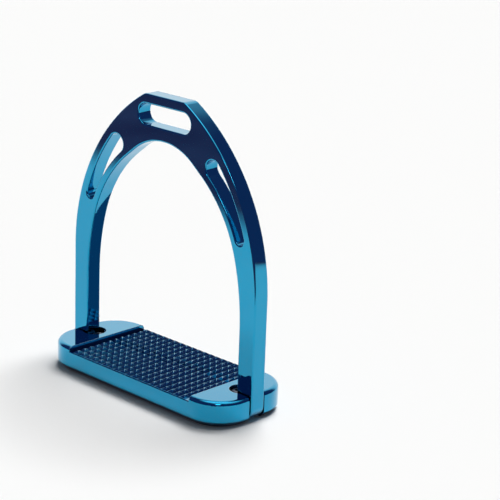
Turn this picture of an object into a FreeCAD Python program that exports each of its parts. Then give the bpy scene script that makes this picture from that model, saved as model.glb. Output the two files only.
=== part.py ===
import FreeCAD, Part
import math
import os

os.makedirs("parts", exist_ok=True)

V = FreeCAD.Vector
UP = V(0, 0, 1)

# Frame: origin at the middle of the footplate's underside, X along the footplate, Y front to back
# (front is -Y), Z up. The bow stands in the XZ plane.

# Footplate
plate_length = 141.0
plate_width = 57.0
plate_corner = 20.0
deck_z = 14.6
step_depth = 2.8
grip_half_length = 47.9
rim_radius = 2.6
sole_chamfer = 3.0
wall_edge = 0.4
step_edge = 0.25

# Grip studs cut from the footplate
stud_columns = 19
stud_rows = 12
grip_end_strip = 2.8
stud_lane = 0.9
stud_height = 1.6
stud_valley = 0.25
stud_top = 0.45
stud_field_width = 56.0
stud_root = 0.5

# Bow
bow_thickness = 9.6
bow_half_width = 71.2
leg_width = 11.2
bow_top_z = deck_z + 147.4
outer_radius = 111.0
outer_centre_z = deck_z + 51.0
top_corner = 6.0
arch_z = deck_z + 123.2
arch_radius = 36.0
arch_turn = math.radians(38)
shoulder_line = 8.0
shoulder_radius = 76.0
shoulder_turn = math.radians(74)
bow_edge = 0.9

# Leather slot and shoulder windows
slot_half_length = 20.0
slot_height = 11.4
slot_z = deck_z + 136.2
window_outer_wall = 5.1
window_inner_wall = 4.15
window_top_radius = 5.3
window_low_radius = 2.85

# How the legs sit in the footplate
leg_gap = 0.9
leg_foot_z = 0.3
leg_foot_radius = 7.0
pocket_x = 59.1
pocket_radius = 6.8
pocket_floor_z = deck_z - 5.6
toe_end_x = 50.0
toe_top_z = 4.6

# Clamp screws
screw_x = 56.15
head_diameter = 7.0
head_height = 4.0
head_edge = 0.4
socket_flats = 3.0
socket_depth = 2.2
shank_diameter = 3.4
shank_end_z = 1.0
clearance_diameter = 4.6
toe_hole_diameter = 4.0


def box(x0, x1, y0, y1, z0, z1):
    return Part.makeBox(x1 - x0, y1 - y0, z1 - z0, V(x0, y0, z0))


def upright(radius, x, z0, z1):
    return Part.makeCylinder(radius, z1 - z0, V(x, 0, z0), UP)


def mirrored(shape):
    return shape.mirror(V(0, 0, 0), V(1, 0, 0))


def on_circle(centre, radius, angle):
    """Point of a circle in the XZ plane; the angle is measured from +X towards +Z."""
    return V(centre.x + radius * math.cos(angle), 0, centre.z + radius * math.sin(angle))


def arc(centre, radius, start, end):
    return Part.Arc(on_circle(centre, radius, start),
                    on_circle(centre, radius, (start + end) / 2),
                    on_circle(centre, radius, end)).toShape()


def line(a, b):
    return Part.LineSegment(a, b).toShape()


def bearing(origin, point):
    return math.atan2(point.z - origin.z, point.x - origin.x)


def slab(edges):
    """Plate of the bow's thickness, centred on Y = 0, from edges in the XZ plane."""
    face = Part.Face(Part.Wire(Part.__sortEdges__(edges)))
    plate = face.extrude(V(0, bow_thickness, 0))
    plate.translate(V(0, -bow_thickness / 2, 0))
    return plate


def outer_edges():
    """Right half of the bow's outer outline, from the top centre line down under the foot."""
    centre = V(bow_half_width - outer_radius, 0, outer_centre_z)
    corner_z = bow_top_z - top_corner
    reach = outer_radius - top_corner
    corner = V(centre.x + math.sqrt(reach ** 2 - (corner_z - centre.z) ** 2), 0, corner_z)
    blend = bearing(centre, corner)
    foot = V(bow_half_width - leg_foot_radius, 0, leg_foot_z + leg_foot_radius)
    heel = V(bow_half_width - leg_width + bow_edge, 0, leg_foot_z + bow_edge)
    return [
        line(V(0, 0, bow_top_z), V(corner.x, 0, bow_top_z)),
        arc(corner, top_corner, math.pi / 2, blend),
        arc(centre, outer_radius, blend, 0),
        line(on_circle(centre, outer_radius, 0), V(bow_half_width, 0, foot.z)),
        arc(foot, leg_foot_radius, 0, -math.pi / 2),
        line(V(foot.x, 0, leg_foot_z), V(heel.x, 0, leg_foot_z)),
        arc(heel, bow_edge, -math.pi / 2, -math.pi),
    ]


def inner_edges():
    """Right half of the bow's inner outline, from the crown of the arch down the leg."""
    leg_x = bow_half_width - leg_width
    quarter = math.pi / 2
    crown = V(0, 0, arch_z - arch_radius)
    a = on_circle(crown, arch_radius, quarter - arch_turn)
    b = a + V(math.cos(arch_turn), 0, -math.sin(arch_turn)) * shoulder_line
    shoulder = b - V(math.sin(arch_turn), 0, math.cos(arch_turn)) * shoulder_radius
    c = on_circle(shoulder, shoulder_radius, quarter - shoulder_turn)
    leg_radius = (leg_x - c.x) / (1 - math.sin(shoulder_turn))
    blend = V(leg_x - leg_radius, 0, c.z - leg_radius * math.cos(shoulder_turn))
    edges = [
        arc(crown, arch_radius, quarter, quarter - arch_turn),
        line(a, b),
        arc(shoulder, shoulder_radius, quarter - arch_turn, quarter - shoulder_turn),
        arc(blend, leg_radius, quarter - shoulder_turn, 0),
        line(V(leg_x, 0, blend.z), V(leg_x, 0, leg_foot_z + bow_edge)),
    ]
    return edges, shoulder


def circles_meet(c1, r1, c2, r2):
    """Upper of the two points at which two circles of the XZ plane cross."""
    apart = c2 - c1
    d = apart.Length
    along = (r1 ** 2 - r2 ** 2 + d ** 2) / (2 * d)
    aside = math.sqrt(r1 ** 2 - along ** 2)
    unit = apart * (1 / d)
    normal = V(-unit.z, 0, unit.x)
    points = [c1 + unit * along + normal * side for side in (aside, -aside)]
    return max(points, key=lambda point: point.z)


def window_edges(shoulder):
    """Teardrop between two arcs that follow the outer and the inner outline."""
    outer_c = V(bow_half_width - outer_radius, 0, outer_centre_z)
    outer_r = outer_radius - window_outer_wall
    inner_r = shoulder_radius + window_inner_wall
    top, low = [circles_meet(outer_c, outer_r - r, shoulder, inner_r + r)
                for r in (window_top_radius, window_low_radius)]
    edges = [
        arc(outer_c, outer_r, bearing(outer_c, low), bearing(outer_c, top)),
        arc(shoulder, inner_r, bearing(shoulder, low), bearing(shoulder, top)),
    ]
    for end, radius, side in ((top, window_top_radius, 1), (low, window_low_radius, -1)):
        start = bearing(outer_c, end)
        stop = bearing(end, shoulder)
        sweep = (stop - start) * side % (2 * math.pi)
        edges.append(arc(end, radius, start, start + side * sweep))
    return edges


def slot_edges():
    r = slot_height / 2
    right = V(slot_half_length - r, 0, slot_z)
    left = V(r - slot_half_length, 0, slot_z)
    rise = V(0, 0, r)
    return [
        line(left - rise, right - rise),
        arc(right, r, -math.pi / 2, math.pi / 2),
        line(right + rise, left + rise),
        arc(left, r, math.pi / 2, 3 * math.pi / 2),
    ]


def make_bow():
    inner, shoulder = inner_edges()
    half = outer_edges() + inner
    edges = half + [mirrored(edge) for edge in half]
    window = slab(window_edges(shoulder))
    bow = slab(edges).cut([slab(slot_edges()), window, mirrored(window)])
    rim = [edge for edge in bow.Edges if edge.BoundBox.YLength < 1e-6]
    bow = bow.makeFillet(bow_edge, rim)
    half = bow_thickness / 2
    toe = box(toe_end_x, bow_half_width - leg_foot_radius, -half, half, leg_foot_z, toe_top_z)
    toe = toe.cut(upright(toe_hole_diameter / 2, screw_x, 0, toe_top_z + 1))
    return bow.fuse([toe, mirrored(toe)])


def level_loop(block, z):
    return [edge for edge in block.Edges
            if abs(edge.BoundBox.ZMin - z) < 1e-6 and abs(edge.BoundBox.ZMax - z) < 1e-6]


def rounded_plate():
    block = box(-plate_length / 2, plate_length / 2, -plate_width / 2, plate_width / 2, 0, deck_z)
    corners = [edge for edge in block.Edges if edge.BoundBox.ZLength > deck_z / 2]
    block = block.makeFillet(plate_corner, corners)
    block = block.makeChamfer(sole_chamfer, level_loop(block, 0))
    return block.makeFillet(rim_radius, level_loop(block, deck_z))


def cut_grip_field(plate):
    floor_z = deck_z - step_depth
    plate = plate.cut(box(-grip_half_length, grip_half_length, -plate_width, plate_width,
                          floor_z, deck_z + 1))
    wall = [edge for edge in plate.Edges
            if edge.BoundBox.XLength > 1.9 * grip_half_length
            and abs(edge.BoundBox.ZMax - floor_z) < 1e-6
            and abs(edge.BoundBox.ZMin - floor_z) < 1e-6]
    plate = plate.makeChamfer(wall_edge, wall)
    step = [edge for edge in plate.Edges
            if abs(abs(edge.CenterOfMass.x) - grip_half_length) < 1e-6
            and abs(edge.CenterOfMass.z - deck_z) < 1e-6]
    return plate.makeChamfer(step_edge, step)


def stud_bars():
    """One bar of pyramids for each column: a saw-tooth ridge seen from the end, a taper from the side."""
    floor_z = deck_z - step_depth
    root_z = floor_z - stud_root
    tip_z = floor_z + stud_height
    valley_z = floor_z + stud_valley
    pitch_y = stud_field_width / stud_rows
    pitch_x = 2 * (grip_half_length - grip_end_strip) / stud_columns
    half_base = (pitch_x - stud_lane) / 2
    half_top = stud_top / 2
    start_y = -stud_field_width / 2
    saw = [V(0, start_y, root_z), V(0, start_y, valley_z)]
    for row in range(stud_rows):
        middle = start_y + (row + 0.5) * pitch_y
        saw += [V(0, middle - half_top, tip_z),
                V(0, middle + half_top, tip_z),
                V(0, middle + pitch_y / 2, valley_z)]
    saw += [V(0, -start_y, root_z), saw[0]]
    ridge = Part.Face(Part.makePolygon(saw)).extrude(V(2 * half_base, 0, 0))
    taper = Part.makePolygon([V(-half_base, start_y, root_z), V(-half_base, start_y, floor_z),
                              V(-half_top, start_y, tip_z), V(half_top, start_y, tip_z),
                              V(half_base, start_y, floor_z), V(half_base, start_y, root_z),
                              V(-half_base, start_y, root_z)])
    taper = Part.Face(taper).extrude(V(0, stud_field_width, 0))
    ridge.translate(V(-half_base, 0, 0))
    bar = ridge.common(taper)
    bars = []
    for column in range(stud_columns):
        copy = bar.copy()
        copy.translate(V((column - (stud_columns - 1) / 2) * pitch_x, 0, 0))
        bars.append(copy)
    return bars


def leg_seat():
    """Everything cut from the right end of the footplate for the leg, its toe and its screw."""
    half = bow_thickness / 2 + leg_gap
    inner_x = bow_half_width - leg_width - leg_gap
    slot = box(inner_x, plate_length, -half, half, -1, deck_z + 1)
    pocket = upright(pocket_radius, pocket_x, pocket_floor_z, deck_z + 1)
    channel = box(toe_end_x - leg_gap, inner_x + 1, -half, half, -1, toe_top_z)
    hole = upright(clearance_diameter / 2, screw_x, 0, deck_z)
    return slot.fuse([pocket, channel, hole])


def make_footplate():
    plate = cut_grip_field(rounded_plate())
    plate = plate.fuse(stud_bars())
    seat = leg_seat()
    return plate.cut([seat, mirrored(seat)]).removeSplitter()


def make_screw():
    head_top = pocket_floor_z + head_height
    head = upright(head_diameter / 2, 0, pocket_floor_z, head_top)
    crown = [edge for edge in head.Edges
             if abs(edge.BoundBox.ZMin - head_top) < 1e-6]
    head = head.makeChamfer(head_edge, crown)
    corner = socket_flats / math.sqrt(3)
    corners = [V(corner * math.cos(k * math.pi / 3), corner * math.sin(k * math.pi / 3),
                 head_top - socket_depth) for k in range(7)]
    socket = Part.Face(Part.makePolygon(corners)).extrude(V(0, 0, socket_depth + 1))
    shank = upright(shank_diameter / 2, 0, shank_end_z, pocket_floor_z + 0.5)
    return head.fuse(shank).cut(socket)


def place_screws():
    screws = []
    for side in (1, -1):
        screw = make_screw()
        screw.translate(V(side * screw_x, 0, 0))
        screws.append(screw)
    return Part.makeCompound(screws)


nodes = {
    "stirrup_bow": make_bow(),
    "footplate": make_footplate(),
    "clamp_screws": place_screws(),
}

for name, shape in nodes.items():
    shape.exportStep("parts/" + name + ".step")
    size = shape.BoundBox
    print(name, "valid", shape.isValid(), "solids", len(shape.Solids), "faces", len(shape.Faces),
          "cm3 %.1f" % (shape.Volume / 1000),
          "box %.1f x %.1f x %.1f" % (size.XLength, size.YLength, size.ZLength))
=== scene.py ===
import bpy
import math
from mathutils import Matrix, Vector

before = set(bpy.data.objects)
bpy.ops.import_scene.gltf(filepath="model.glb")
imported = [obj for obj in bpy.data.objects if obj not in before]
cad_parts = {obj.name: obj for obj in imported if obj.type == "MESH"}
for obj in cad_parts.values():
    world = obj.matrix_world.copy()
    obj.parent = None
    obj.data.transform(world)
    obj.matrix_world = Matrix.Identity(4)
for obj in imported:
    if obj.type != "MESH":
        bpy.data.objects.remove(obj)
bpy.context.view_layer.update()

# Everything is in metres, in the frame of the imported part: X along the footplate, -Y front, Z up.

# Camera: azimuth from -Y towards +X, and the point that the middle of the picture looks at
CAMERA_AZIMUTH = math.radians(43.4)
CAMERA_ELEVATION = math.radians(17.4)
CAMERA_ROLL = math.radians(-2.07)
CAMERA_DISTANCE = 0.929
CAMERA_LENS = 123.7
CAMERA_AIM = Vector((0.0326, 0.0305, 0.0791))

# Finish: colours, how far the painted shade of hollows reaches, the radius of keen and of worn edges, the
# heights between which the studs start to show wear, and how many times a metre each unevenness repeats
LACQUER_THIN = (0.004, 0.325, 0.555)
LACQUER_THICK = (0.0, 0.27, 0.485)
# Painted shade: the colour that hollows darken to
HOLLOW_SHADE_COLOUR = (0.0, 0.07, 0.17)
BARE_METAL = (0.42, 0.62, 0.74)
STEEL_DARK = (0.05, 0.06, 0.09)
STEEL_PALE = (0.16, 0.18, 0.22)
HOLLOW_SHADE_REACH = 0.0025
KEEN_EDGE = 0.00004
WORN_EDGE = 0.00035
STUD_WEAR = (0.0124, 0.0133)
COAT_WEIGHT = 0.55
COAT_ROUGHNESS = 0.02
RIPPLE_HEIGHT = 0.0002
SHADE_SCALE = 22.0
HAZE_SCALE = 160.0
RIPPLE_SCALE = 240.0
GRAIN_SCALE = 900.0

# Studio, in the camera's own directions: right, away and up. The lit floor ends along a slanted edge in
# front of the part and fades far away, and the mirror finish of the part shows where it ends.
FLOOR_SIZE = 6.0
FLOOR_Z = -0.0004
REFLECTED_FLOOR_Z = -0.0002
BLOTCH_SCALE = 7.0
FLOOR_WHITE = (0.9, 0.9, 0.895)
EDGE_SIDE = (-0.521, -0.853, 0.0)
EDGE_FADE = (0.195, 0.245)
FAR_FADE = (0.8, 2.6)
WHITE = (1.08, 1.075, 1.06)
# Dim glow of the floor beyond the lit part: a painted reflection of a dark studio, uneven in brightness
DARK_FLOOR = (0.22, 0.045, 0.10)
DIM_FLOOR = (0.34, 0.085, 0.15)
DARK_WALLS = (0.09, 0.06, 0.15)
OVERHEAD_LEAN = 0.12
OVERHEAD_FADE = (0.77, 0.90)
BEHIND_FADE = (0.42, 0.75)

# Lights: the front and top ones are only seen reflected, and have the side that they stand on, the angles
# in degrees at which they are full and are gone, and what they add to the room's brightness. The key light
# and the fill light the floor.
FRONT_SIDE = (0.0, -0.77, 0.64)
FRONT_SPREAD = (3, 10)
FRONT_BOOST = 4.0
TOP_SIDE = (0.05, 0.10, 0.99)
TOP_SPREAD = (12, 28)
TOP_BOOST = 0.8
KEY_SIDE = (0.20, 0.34, 0.90)
KEY_STRENGTH = 3.36
KEY_ANGLE = math.radians(34)
FILL = 0.10
BACKDROP = 0.98

# Upright sheet that stands in for a second iron beside this one. It glows, is seen only in reflections and
# paints a dark blue reflection of that iron. It turns white between the heights in FLAG_FADE, and is seen
# only from between the distances in FLAG_REACH.
FLAG_BLUE = (0.02, 0.10, 0.20)
FLAG_RIGHT = 0.006
FLAG_AWAY = (0.028, 0.062)
FLAG_HEIGHT = (0.004, 0.105)
FLAG_FADE = (0.050, 0.092)
FLAG_REACH = (0.042, 0.064)


class Nodes:
    """Small helper that adds nodes to a tree and links them."""

    def __init__(self, tree):
        self.tree = tree

    def add(self, kind, **settings):
        node = self.tree.nodes.new("ShaderNode" + kind)
        for key, value in settings.items():
            setattr(node, key, value)
        return node

    def link(self, source, target):
        self.tree.links.new(source, target)

    def noise(self, vector, scale, detail=2.0, roughness=0.5):
        node = self.add("TexNoise")
        node.inputs["Scale"].default_value = scale
        node.inputs["Detail"].default_value = detail
        node.inputs["Roughness"].default_value = roughness
        self.link(vector, node.inputs["Vector"])
        return node.outputs["Fac"]

    def spread(self, value, low, high):
        """Maps 0..1 to low..high."""
        node = self.add("MapRange")
        node.inputs["To Min"].default_value = low
        node.inputs["To Max"].default_value = high
        self.link(value, node.inputs["Value"])
        return node.outputs["Result"]

    def ramp(self, value, low, high):
        """Goes smoothly from 0 at low to 1 at high."""
        node = self.add("MapRange", interpolation_type="SMOOTHSTEP")
        node.inputs["From Min"].default_value = low
        node.inputs["From Max"].default_value = high
        self.link(value, node.inputs["Value"])
        return node.outputs["Result"]

    def maths(self, operation, *terms):
        node = self.add("Math", operation=operation)
        for index, term in enumerate(terms):
            if isinstance(term, (int, float)):
                node.inputs[index].default_value = term
            else:
                self.link(term, node.inputs[index])
        return node.outputs["Value"]

    def dot(self, vector, other):
        """The other vector is a socket or a constant."""
        node = self.add("VectorMath", operation="DOT_PRODUCT")
        self.link(vector, node.inputs[0])
        if isinstance(other, (tuple, Vector)):
            node.inputs[1].default_value = other
        else:
            self.link(other, node.inputs[1])
        return node.outputs["Value"]

    def split(self, vector):
        node = self.add("SeparateXYZ")
        self.link(vector, node.inputs["Vector"])
        return [node.outputs[axis] for axis in "XYZ"]

    def blend(self, factor, a, b):
        """Goes from a to b, each a socket or a constant colour, as the factor goes from 0 to 1."""
        node = self.add("Mix", data_type="RGBA")
        self.link(factor, node.inputs["Factor"])
        for socket, colour in (("A", a), ("B", b)):
            if isinstance(colour, tuple):
                node.inputs[socket].default_value = (*colour, 1)
            else:
                self.link(colour, node.inputs[socket])
        return node.outputs["Result"]

    def blend_shaders(self, factor, a, b):
        node = self.add("MixShader")
        self.link(factor, node.inputs["Fac"])
        self.link(a, node.inputs[1])
        self.link(b, node.inputs[2])
        return node.outputs["Shader"]

    def finish(self, shader, kind="Material"):
        self.link(shader, self.add("Output" + kind).inputs["Surface"])


def new_material(name):
    material = bpy.data.materials.new(name)
    material.use_nodes = True
    material.node_tree.nodes.clear()
    return material, Nodes(material.node_tree)


def painted_hollow_shade(n, colour):
    """Painted shade: the colour darkens in hollows, where ambient occlusion is low."""
    hollow = n.add("AmbientOcclusion", samples=4)
    hollow.inputs["Distance"].default_value = HOLLOW_SHADE_REACH
    return n.blend(n.ramp(hollow.outputs["AO"], 1.0, 0.6), colour, HOLLOW_SHADE_COLOUR)


def worn_edges(n, wear, colour):
    """The colour with bare metal on worn edges, and a normal that is rounded there."""
    rounded = n.add("Bevel", samples=4)
    n.link(n.spread(wear, KEEN_EDGE, WORN_EDGE), rounded.inputs["Radius"])
    normal = rounded.outputs["Normal"]
    turned = n.dot(normal, n.add("NewGeometry").outputs["True Normal"])
    edge = n.ramp(turned, 0.99, 0.92)
    return n.blend(n.maths("MULTIPLY", edge, wear), colour, BARE_METAL), normal


def lacquered_metal(name, roughness, ripple, wear_heights=None):
    """Polished aluminium under a transparent blue lacquer whose depth of colour varies a little. With
    wear_heights, painted shade darkens hollows, and the lacquer is worn off edges above those heights."""
    material, n = new_material(name)
    place = n.add("TexCoord").outputs["Object"]
    shader = n.add("BsdfPrincipled")
    shader.inputs["Metallic"].default_value = 1.0
    shader.inputs["Coat Weight"].default_value = COAT_WEIGHT
    shader.inputs["Coat Roughness"].default_value = COAT_ROUGHNESS
    colour = n.blend(n.spread(n.noise(place, SHADE_SCALE, 3.0), -0.2, 1.2), LACQUER_THIN, LACQUER_THICK)
    haze = n.noise(place, HAZE_SCALE, 4.0, 0.6)
    n.link(n.spread(haze, roughness * 0.7, roughness * 1.4), shader.inputs["Roughness"])
    bump = n.add("Bump")
    bump.inputs["Strength"].default_value = ripple
    bump.inputs["Distance"].default_value = RIPPLE_HEIGHT
    n.link(n.noise(place, RIPPLE_SCALE), bump.inputs["Height"])
    if wear_heights:
        height = n.split(place)[2]
        # The hollows get painted shade, and the stud edges above the wear heights are worn to bare metal
        colour, normal = worn_edges(n, n.ramp(height, *wear_heights), painted_hollow_shade(n, colour))
        n.link(normal, bump.inputs["Normal"])
    n.link(colour, shader.inputs["Base Color"])
    n.link(bump.outputs["Normal"], shader.inputs["Normal"])
    n.finish(shader.outputs["BSDF"])
    return material


def dark_steel(name):
    material, n = new_material(name)
    shader = n.add("BsdfPrincipled")
    shader.inputs["Metallic"].default_value = 1.0
    grain = n.noise(n.add("TexCoord").outputs["Object"], GRAIN_SCALE, 4.0, 0.7)
    n.link(n.blend(grain, STEEL_DARK, STEEL_PALE), shader.inputs["Base Color"])
    n.link(n.spread(grain, 0.22, 0.42), shader.inputs["Roughness"])
    n.finish(shader.outputs["BSDF"])
    return material


def dress(node, material):
    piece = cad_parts[node]
    for index in range(max(1, len(piece.material_slots))):
        if index >= len(piece.material_slots):
            piece.data.materials.append(material)
        piece.material_slots[index].link = "OBJECT"
        piece.material_slots[index].material = material
    return piece


def even_normals(piece):
    normals = piece.modifiers.new("even_normals", "WEIGHTED_NORMAL")
    normals.mode = "FACE_AREA"
    normals.weight = 90
    normals.keep_sharp = True


def sheet(name, corners, material):
    """Flat stage piece given in the camera's own directions."""
    mesh = bpy.data.meshes.new(name)
    mesh.from_pydata(corners, [], [(0, 1, 2, 3)])
    mesh.materials.append(material)
    piece = bpy.data.objects.new(name, mesh)
    piece.rotation_euler = (0, 0, CAMERA_AZIMUTH)
    bpy.context.scene.collection.objects.link(piece)
    return piece


def level_sheet(name, z, material):
    half = FLOOR_SIZE / 2
    return sheet(name, [(-half, -half, z), (half, -half, z), (half, half, z), (-half, half, z)], material)


def glossy_only(piece):
    piece.visible_camera = False
    piece.visible_diffuse = False
    piece.visible_shadow = False


def white_paper(n):
    shader = n.add("BsdfDiffuse")
    shader.inputs["Color"].default_value = (*FLOOR_WHITE, 1)
    return shader.outputs["BSDF"]


def paper(name):
    material, n = new_material(name)
    n.finish(white_paper(n))
    return material


def fading_paper(name):
    """White near the part and dark beyond the edge and far away, as a lit table is in a dark studio."""
    material, n = new_material(name)
    place = n.add("TexCoord").outputs["Object"]
    dark = n.add("Emission")
    # Painted reflection: the dark part glows dimly and unevenly and stands in for the unlit studio
    uneven_dark_glow = n.ramp(n.noise(place, BLOTCH_SCALE), 0.35, 0.65)
    n.link(n.blend(uneven_dark_glow, DARK_FLOOR, DIM_FLOOR), dark.inputs["Color"])
    far = n.add("VectorMath", operation="LENGTH")
    n.link(place, far.inputs[0])
    beyond = n.maths("MAXIMUM", n.ramp(n.dot(place, EDGE_SIDE), *EDGE_FADE),
                     n.ramp(far.outputs["Value"], *FAR_FADE))
    n.finish(n.blend_shaders(beyond, white_paper(n), dark.outputs["Emission"]))
    return material


def flag_material(name):
    material, n = new_material(name)
    height = n.split(n.add("TexCoord").outputs["Object"])[2]
    glow = n.add("Emission")
    # Painted reflection: the glow is dark blue low down and white higher up
    n.link(n.blend(n.ramp(height, *FLAG_FADE), FLAG_BLUE, WHITE), glow.inputs["Color"])
    length = n.add("LightPath").outputs["Ray Length"]
    shown = n.maths("MULTIPLY", n.maths("GREATER_THAN", length, FLAG_REACH[0]),
                    n.maths("LESS_THAN", length, FLAG_REACH[1]))
    clear = n.add("BsdfTransparent").outputs["BSDF"]
    n.finish(n.blend_shaders(shown, clear, glow.outputs["Emission"]))
    return material


def flag():
    near, far = FLAG_AWAY
    foot, top = FLAG_HEIGHT
    corners = [(FLAG_RIGHT, away, z) for away, z in ((near, foot), (far, foot), (far, top), (near, top))]
    return sheet("dark_flag", corners, flag_material("flag_blue"))


def key_light():
    lamp = bpy.data.lights.new("key_light", "SUN")
    lamp.energy = KEY_STRENGTH
    lamp.angle = KEY_ANGLE
    piece = bpy.data.objects.new("key_light", lamp)
    side = Matrix.Rotation(CAMERA_AZIMUTH, 3, "Z") @ Vector(KEY_SIDE)
    piece.rotation_euler = side.to_track_quat("Z", "Y").to_euler()
    piece.visible_glossy = False
    bpy.context.scene.collection.objects.link(piece)


def camera_direction(n):
    """Direction of the ray in the camera's own right, away and up."""
    turn = n.add("VectorRotate", rotation_type="Z_AXIS")
    turn.inputs["Angle"].default_value = -CAMERA_AZIMUTH
    n.link(n.add("TexCoord").outputs["Generated"], turn.inputs["Vector"])
    return turn.outputs["Vector"]


def lobe(n, direction, side, spread):
    """1 towards the side, and 0 beyond the wider angle of the spread."""
    narrow, wide = (math.cos(math.radians(angle)) for angle in spread)
    return n.ramp(n.dot(direction, Vector(side).normalized()), wide, narrow)


def reflected_room(n):
    """What the mirror finish sees above the floor: pale overhead and behind, a small lamp in front, and
    dark walls all round."""
    direction = camera_direction(n)
    right, away, up = n.split(direction)
    overhead = n.ramp(n.maths("MULTIPLY_ADD", right, OVERHEAD_LEAN, up), *OVERHEAD_FADE)
    behind = n.ramp(away, *BEHIND_FADE)
    front = lobe(n, direction, FRONT_SIDE, FRONT_SPREAD)
    top = lobe(n, direction, TOP_SIDE, TOP_SPREAD)
    pale = n.maths("MAXIMUM", n.maths("MAXIMUM", overhead, behind), front)
    seen = n.add("Background")
    n.link(n.blend(pale, DARK_WALLS, WHITE), seen.inputs["Color"])
    lamps = n.maths("MULTIPLY_ADD", front, FRONT_BOOST, n.maths("MULTIPLY_ADD", top, TOP_BOOST, 1.0))
    n.link(lamps, seen.inputs["Strength"])
    return seen.outputs["Background"]


def light_world():
    world = bpy.data.worlds.new("studio")
    bpy.context.scene.world = world
    world.use_nodes = True
    world.node_tree.nodes.clear()
    n = Nodes(world.node_tree)
    path = n.add("LightPath")
    fill = n.add("Background")
    fill.inputs["Color"].default_value = (1, 1, 1, 1)
    n.link(n.spread(path.outputs["Is Camera Ray"], FILL, BACKDROP), fill.inputs["Strength"])
    n.finish(n.blend_shaders(path.outputs["Is Glossy Ray"], fill.outputs["Background"], reflected_room(n)),
             "World")


def studio():
    floor = level_sheet("floor", FLOOR_Z, paper("paper_white"))
    floor.visible_glossy = False
    glossy_only(level_sheet("floor_lit_part", REFLECTED_FLOOR_Z, fading_paper("paper_fading")))
    glossy_only(flag())
    key_light()
    light_world()
    bpy.context.scene.view_settings.view_transform = "Standard"


def camera():
    lens = bpy.data.cameras.new("camera")
    lens.lens = CAMERA_LENS
    lens.sensor_width = 36
    lens.clip_start = 0.05
    lens.clip_end = 20
    body = bpy.data.objects.new("camera", lens)
    back = Vector((math.sin(CAMERA_AZIMUTH) * math.cos(CAMERA_ELEVATION),
                   -math.cos(CAMERA_AZIMUTH) * math.cos(CAMERA_ELEVATION),
                   math.sin(CAMERA_ELEVATION)))
    right = Vector((math.cos(CAMERA_AZIMUTH), math.sin(CAMERA_AZIMUTH), 0))
    up = back.cross(right)
    tilt = Matrix.Rotation(-CAMERA_ROLL, 3, back)
    axes = Matrix((tilt @ right, tilt @ up, back)).transposed().to_4x4()
    body.matrix_world = Matrix.Translation(CAMERA_AIM + back * CAMERA_DISTANCE) @ axes
    bpy.context.scene.collection.objects.link(body)
    bpy.context.scene.camera = body


even_normals(dress("stirrup_bow", lacquered_metal("blue_bow", 0.05, 0.03)))
even_normals(dress("footplate", lacquered_metal("blue_plate", 0.06, 0.04, STUD_WEAR)))
dress("clamp_screws", dark_steel("screw_steel"))
studio()
camera()
